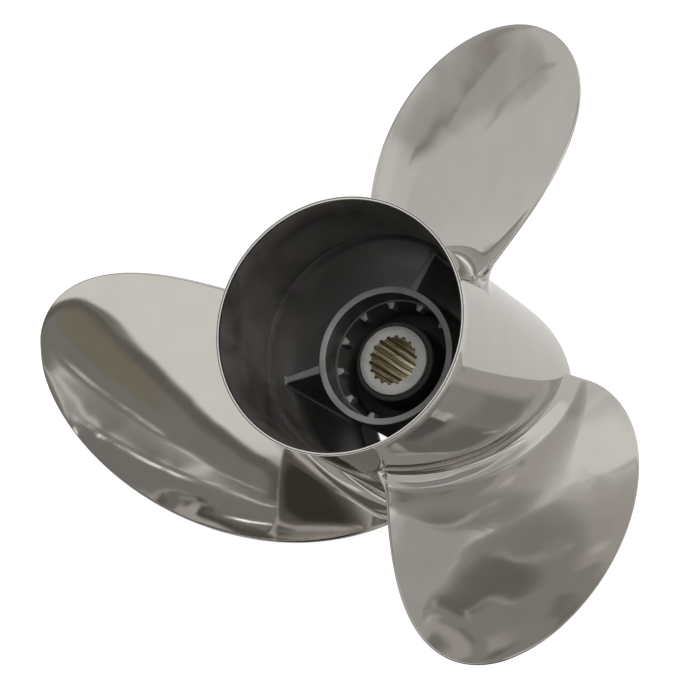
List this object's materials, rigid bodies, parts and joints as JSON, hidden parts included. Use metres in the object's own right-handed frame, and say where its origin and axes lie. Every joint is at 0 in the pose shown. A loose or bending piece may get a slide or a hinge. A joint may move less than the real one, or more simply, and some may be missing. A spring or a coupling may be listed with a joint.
{
  "type": "boat propeller",
  "caption": "Boat propeller with skewed, cupped left-hand blades on a hollow exhaust hub, rubber bush and splined sleeve.",
  "frame": {"origin": "where the shaft's axis meets the plane of the hub's flat front end, on which the propeller stands", "axes": "+Z along the shaft, from the front of the hub to its open rear end; the root of blade_1 lies towards -Y"},
  "size_m": [0.2962, 0.3027, 0.1725],
  "materials": {
    "polished_steel": "mirror polished stainless steel",
    "cast_steel": "dark as-cast stainless steel",
    "turned_steel": "turned, matt",
    "black_rubber": "moulded, matt",
    "brass": "broached and faced, dull"
  },
  "bodies": {
    "root": {"hub_barrel": "polished_steel", "flare_ring": "polished_steel", "blade_1": "polished_steel", "blade_2": "polished_steel", "blade_3": "polished_steel", "rib_1": "cast_steel", "rib_2": "cast_steel", "rib_3": "cast_steel", "inner_hub_tube": "turned_steel", "key_01": "cast_steel", "key_02": "cast_steel", "key_03": "cast_steel", "key_04": "cast_steel", "key_05": "cast_steel", "key_06": "cast_steel", "key_07": "cast_steel", "key_08": "cast_steel", "key_09": "cast_steel", "key_10": "cast_steel", "key_11": "cast_steel", "key_12": "cast_steel", "rubber_bush": "black_rubber", "splined_sleeve": "brass"}
  },
  "joints": []
}
